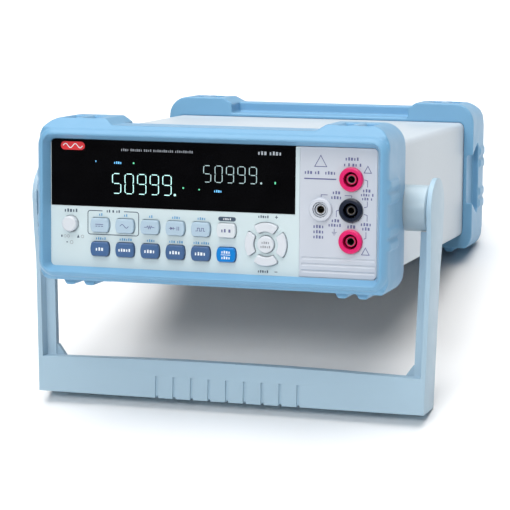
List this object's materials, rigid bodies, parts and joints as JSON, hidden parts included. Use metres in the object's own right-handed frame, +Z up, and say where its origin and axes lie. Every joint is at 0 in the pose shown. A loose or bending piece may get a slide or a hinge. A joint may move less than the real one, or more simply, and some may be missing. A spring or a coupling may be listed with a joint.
{
  "type": "bench multimeter",
  "caption": "Benchtop multimeter with display window, function keys, test jacks, corner bumpers and a swinging handle that also props it up.",
  "frame": {"origin": "on the floor under the middle of the whole object, as it stands on its handle and rear feet", "axes": "+X to the right seen from the front, +Y from front to back, +Z up"},
  "size_m": [0.265, 0.3126, 0.1916],
  "materials": {
    "case_paint": "satin light grey paint",
    "base_steel": "zinc-plated sheet",
    "rear_paint": "satin light grey paint",
    "bumper_rubber": "matte light blue rubber",
    "panel_plastic": "fine matte, pale blue-grey",
    "terminal_plastic": "fine matte, pale lavender-grey",
    "window_acrylic": "polished smoked acrylic",
    "button_white": "smooth off-white",
    "key_pale": "smooth pale blue",
    "key_slate": "smooth slate blue",
    "key_white": "smooth off-white",
    "key_blue": "smooth vivid blue",
    "jack_red": "glossy red",
    "jack_black": "glossy blue-black",
    "jack_white": "glossy white",
    "contact_brass": "nickel-plated brass",
    "nut_steel": "plated",
    "screw_steel": "plated",
    "hub_plastic": "smooth near-white blue",
    "handle_plastic": "fine matte light blue-grey",
    "circuit_board": "green solder mask",
    "tube_glass": "dark vacuum tube glass",
    "core_iron": "varnished laminations",
    "winding_tape": "yellow insulating tape",
    "sink_aluminium": "extruded",
    "capacitor_sleeve": "shrink sleeve",
    "relay_plastic": "moulded",
    "fuse_ceramic": "glazed",
    "fuse_glass": "glass with plated caps",
    "ribbon_grey": "flat cable",
    "black_moulding": "fine matte black",
    "port_steel": "plated shell"
  },
  "bodies": {
    "meter": {"case_cover": "case_paint", "chassis_base": "base_steel", "rear_panel": "rear_paint", "front_bumper": "bumper_rubber", "rear_bumper": "bumper_rubber", "front_panel": "panel_plastic", "terminal_panel": "terminal_plastic", "display_window": "window_acrylic", "power_switch": "black_moulding", "tact_switches": "black_moulding", "jack_contacts": "contact_brass", "jack_nuts": "nut_steel", "fuse_jack_socket": "jack_white", "hub_right": "hub_plastic", "hub_left": "hub_plastic", "hub_screws": "screw_steel", "hub_wave_washers": "screw_steel", "front_board": "circuit_board", "display_tube": "tube_glass", "main_board": "circuit_board", "board_standoffs": "contact_brass", "m3_screws": "screw_steel", "transformer_core": "core_iron", "transformer_winding": "winding_tape", "heatsink": "sink_aluminium", "filter_capacitors": "capacitor_sleeve", "relays": "relay_plastic", "amp_fuse": "fuse_ceramic", "ribbon_cable": "ribbon_grey", "iec_inlet": "black_moulding", "inlet_pins": "contact_brass", "usb_port": "port_steel", "io_connector": "port_steel", "volt_jack": "jack_red", "common_jack": "jack_black", "amp_jack": "jack_red"},
    "handle_body": {"handle": "handle_plastic"},
    "power_body": {"power_button": "button_white"},
    "fuse_carrier_body": {"fuse_carrier": "jack_white", "fuse_jack_contact": "contact_brass", "input_fuse": "fuse_glass"},
    "fuse_drawer_body": {"line_fuse_drawer": "black_moulding", "line_fuse": "fuse_glass"},
    "key_upper_1_body": {"key_upper_1": "key_pale"},
    "key_upper_2_body": {"key_upper_2": "key_pale"},
    "key_upper_3_body": {"key_upper_3": "key_pale"},
    "key_upper_4_body": {"key_upper_4": "key_pale"},
    "key_upper_5_body": {"key_upper_5": "key_pale"},
    "key_upper_6_body": {"key_upper_6": "key_white"},
    "key_lower_1_body": {"key_lower_1": "key_slate"},
    "key_lower_2_body": {"key_lower_2": "key_slate"},
    "key_lower_3_body": {"key_lower_3": "key_slate"},
    "key_lower_4_body": {"key_lower_4": "key_slate"},
    "key_lower_5_body": {"key_lower_5": "key_slate"},
    "key_lower_6_body": {"key_lower_6": "key_blue"},
    "nav_key_right_body": {"nav_key_right": "button_white"},
    "nav_key_up_body": {"nav_key_up": "button_white"},
    "nav_key_left_body": {"nav_key_left": "button_white"},
    "nav_key_down_body": {"nav_key_down": "button_white"},
    "nav_key_centre_body": {"nav_key_centre": "button_white"}
  },
  "joints": [
    {"name": "handle_swing", "type": "hinge", "parent": "meter", "child": "handle_body", "pos_m": [0, -0.08723, 0.1259], "axis": [-1, 0, 0], "range_deg": [0, 190]},
    {"name": "power_press", "type": "slide", "parent": "meter", "child": "power_body", "axis": [0, 0.9435, -0.3314], "range_m": [0, 0.003], "stiffness_N_per_m": 800},
    {"name": "fuse_carrier_twist", "type": "hinge", "parent": "meter", "child": "fuse_carrier_body", "pos_m": [0.07095, -0.13429, 0.14492], "axis": [0, -0.9435, 0.3314], "range_deg": [0, 45]},
    {"name": "fuse_drawer_slide", "type": "slide", "parent": "meter", "child": "fuse_drawer_body", "axis": [0, 0.9435, -0.3314], "range_m": [0, 0.018]},
    {"name": "key_upper_1_press", "type": "slide", "parent": "meter", "child": "key_upper_1_body", "axis": [0, 0.9435, -0.3314], "range_m": [0, 0.0008], "stiffness_N_per_m": 1800},
    {"name": "key_upper_2_press", "type": "slide", "parent": "meter", "child": "key_upper_2_body", "axis": [0, 0.9435, -0.3314], "range_m": [0, 0.0008], "stiffness_N_per_m": 1800},
    {"name": "key_upper_3_press", "type": "slide", "parent": "meter", "child": "key_upper_3_body", "axis": [0, 0.9435, -0.3314], "range_m": [0, 0.0008], "stiffness_N_per_m": 1800},
    {"name": "key_upper_4_press", "type": "slide", "parent": "meter", "child": "key_upper_4_body", "axis": [0, 0.9435, -0.3314], "range_m": [0, 0.0008], "stiffness_N_per_m": 1800},
    {"name": "key_upper_5_press", "type": "slide", "parent": "meter", "child": "key_upper_5_body", "axis": [0, 0.9435, -0.3314], "range_m": [0, 0.0008], "stiffness_N_per_m": 1800},
    {"name": "key_upper_6_press", "type": "slide", "parent": "meter", "child": "key_upper_6_body", "axis": [0, 0.9435, -0.3314], "range_m": [0, 0.0008], "stiffness_N_per_m": 1800},
    {"name": "key_lower_1_press", "type": "slide", "parent": "meter", "child": "key_lower_1_body", "axis": [0, 0.9435, -0.3314], "range_m": [0, 0.0008], "stiffness_N_per_m": 1800},
    {"name": "key_lower_2_press", "type": "slide", "parent": "meter", "child": "key_lower_2_body", "axis": [0, 0.9435, -0.3314], "range_m": [0, 0.0008], "stiffness_N_per_m": 1800},
    {"name": "key_lower_3_press", "type": "slide", "parent": "meter", "child": "key_lower_3_body", "axis": [0, 0.9435, -0.3314], "range_m": [0, 0.0008], "stiffness_N_per_m": 1800},
    {"name": "key_lower_4_press", "type": "slide", "parent": "meter", "child": "key_lower_4_body", "axis": [0, 0.9435, -0.3314], "range_m": [0, 0.0008], "stiffness_N_per_m": 1800},
    {"name": "key_lower_5_press", "type": "slide", "parent": "meter", "child": "key_lower_5_body", "axis": [0, 0.9435, -0.3314], "range_m": [0, 0.0008], "stiffness_N_per_m": 1800},
    {"name": "key_lower_6_press", "type": "slide", "parent": "meter", "child": "key_lower_6_body", "axis": [0, 0.9435, -0.3314], "range_m": [0, 0.0008], "stiffness_N_per_m": 1800},
    {"name": "nav_key_right_press", "type": "slide", "parent": "meter", "child": "nav_key_right_body", "axis": [0, 0.9435, -0.3314], "range_m": [0, 0.0008], "stiffness_N_per_m": 1800},
    {"name": "nav_key_up_press", "type": "slide", "parent": "meter", "child": "nav_key_up_body", "axis": [0, 0.9435, -0.3314], "range_m": [0, 0.0008], "stiffness_N_per_m": 1800},
    {"name": "nav_key_left_press", "type": "slide", "parent": "meter", "child": "nav_key_left_body", "axis": [0, 0.9435, -0.3314], "range_m": [0, 0.0008], "stiffness_N_per_m": 1800},
    {"name": "nav_key_down_press", "type": "slide", "parent": "meter", "child": "nav_key_down_body", "axis": [0, 0.9435, -0.3314], "range_m": [0, 0.0008], "stiffness_N_per_m": 1800},
    {"name": "nav_key_centre_press", "type": "slide", "parent": "meter", "child": "nav_key_centre_body", "axis": [0, 0.9435, -0.3314], "range_m": [0, 0.0008], "stiffness_N_per_m": 1800}
  ]
}
